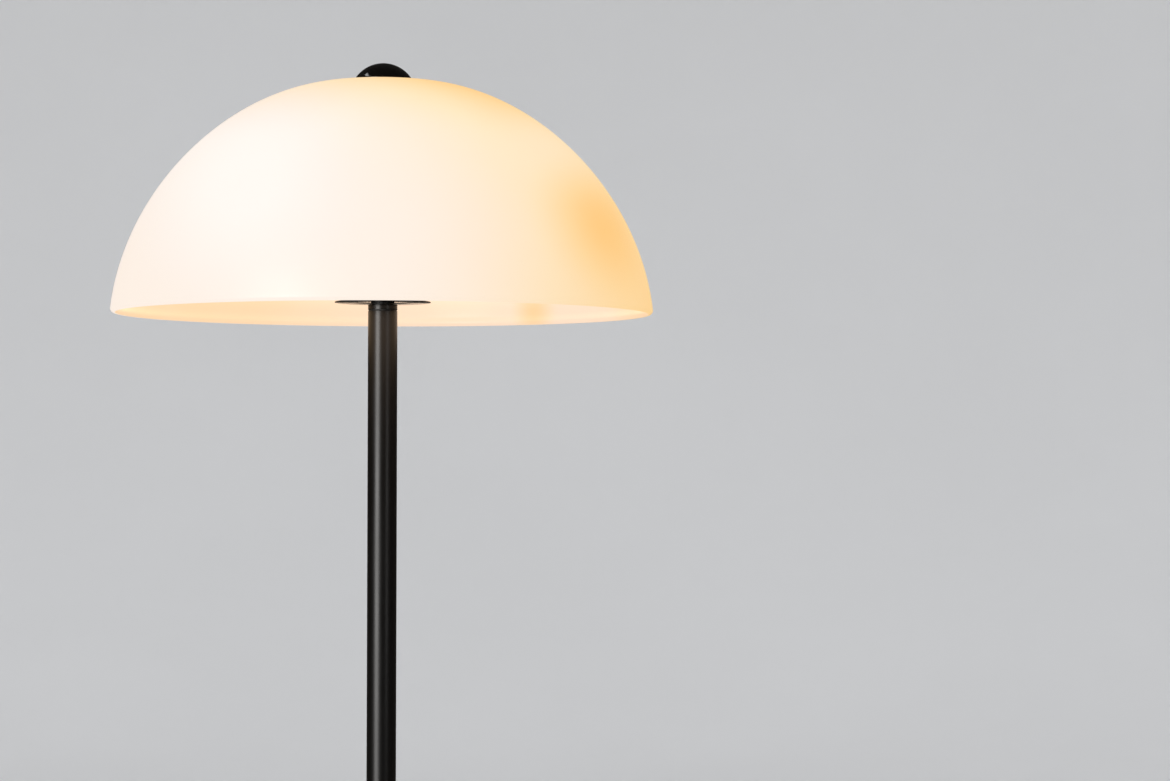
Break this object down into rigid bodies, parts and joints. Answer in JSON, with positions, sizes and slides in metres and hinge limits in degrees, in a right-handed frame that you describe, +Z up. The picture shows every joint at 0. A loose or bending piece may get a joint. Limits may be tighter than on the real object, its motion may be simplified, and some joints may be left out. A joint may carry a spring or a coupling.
{
  "type": "mushroom floor lamp",
  "caption": "Floor lamp with an opal glass mushroom dome hung by its apex from a rod on a slim black pole over a round weighted base. Top nut, glass and bulb come off.",
  "frame": {"origin": "on the floor, under the middle of the base", "axes": "+Z up along the pole; -Y is the front, towards the viewer; the bulb points towards -X; the mains lead enters at +Y"},
  "size_m": [0.4604, 0.4603, 1.5016],
  "materials": {
    "black_metal": "satin black powder coat, fine texture",
    "dark_step": "blackened steel, semi matt",
    "cast_iron": "rough grey casting, dip painted",
    "foot_pad": "closed-cell foam rubber, matt",
    "black_rubber": "moulded rubber, matt",
    "zinc_steel": "bright zinc plate",
    "brass": "bright turned brass",
    "holder_plastic": "black thermoset, fine matt",
    "terminal_plastic": "white nylon",
    "porcelain": "white steatite",
    "opal_glass": "glossy blown opal glass, lit from inside",
    "silicone": "translucent grey silicone",
    "bulb_plastic": "white plastic, fine matt",
    "bulb_diffuser": "opal polycarbonate, lit",
    "nickel_plate": "nickel plated, satin",
    "vitrite": "black glass",
    "solder": "dull solder",
    "led_board": "white coated board",
    "led_phosphor": "yellow phosphor, lit",
    "sheath": "black flexible plastic",
    "core_brown": "brown insulation",
    "core_blue": "blue insulation"
  },
  "bodies": {
    "stand": {"base_cover": "black_metal", "pole_lower": "black_metal", "pole_upper": "black_metal", "pole_top_collar": "black_metal", "glare_disc": "black_metal", "head_hub": "black_metal", "disc_spacer": "dark_step", "pole_top_insert": "dark_step", "base_weight": "cast_iron", "base_pad": "foot_pad", "cord_inlet_bushing": "black_rubber", "base_nipple": "zinc_steel", "base_clamp_washer": "zinc_steel", "base_lock_nut": "zinc_steel", "pole_foot_insert": "zinc_steel", "pole_joint_socket": "zinc_steel", "pole_joint_stud": "zinc_steel", "head_nipple": "zinc_steel", "centre_rod": "zinc_steel", "rod_lock_nut": "zinc_steel", "holder_nipple": "zinc_steel", "shade_support_nut": "zinc_steel", "shade_support_plate": "zinc_steel", "terminal_screws": "zinc_steel", "holder_terminal_screws": "zinc_steel", "screw_shell": "brass", "centre_contact": "brass", "holder_terminals": "brass", "terminal_tubes": "brass", "holder_cap": "holder_plastic", "holder_shell": "holder_plastic", "terminal_block": "terminal_plastic", "holder_insert": "porcelain", "lower_gasket": "silicone", "lead_sheath": "sheath", "live_core": "core_brown", "neutral_core": "core_blue"},
    "dome": {"shade": "opal_glass"},
    "finial_seal": {"upper_gasket": "silicone"},
    "finial_nut": {"finial": "black_metal", "finial_insert": "brass"},
    "bulb": {"bulb_globe": "bulb_diffuser", "bulb_housing": "bulb_plastic", "led_board": "led_board", "led_chips": "led_phosphor", "bulb_cap": "nickel_plate", "bulb_insulator": "vitrite", "bulb_centre_contact": "solder"}
  },
  "joints": [
    {"name": "shade_lift", "type": "slide", "parent": "stand", "child": "dome", "axis": [0, 0, 1], "range_m": [0, 0.22]},
    {"name": "finial_rise", "type": "slide", "parent": "dome", "child": "finial_seal", "axis": [0, 0, 1], "range_m": [0, 0.0091]},
    {"name": "finial_turn", "type": "hinge", "parent": "finial_seal", "child": "finial_nut", "pos_m": [0, 0, 1.487], "axis": [0, 0, 1], "range_deg": [0, 3240]},
    {"name": "bulb_out", "type": "slide", "parent": "stand", "child": "bulb", "axis": [-0.9397, 0, 0.342], "range_m": [0, 0.03]}
  ],
  "couplings": [
    {"joint": "finial_rise", "follows": "finial_turn", "m_per_rad": 0.00015915}
  ]
}
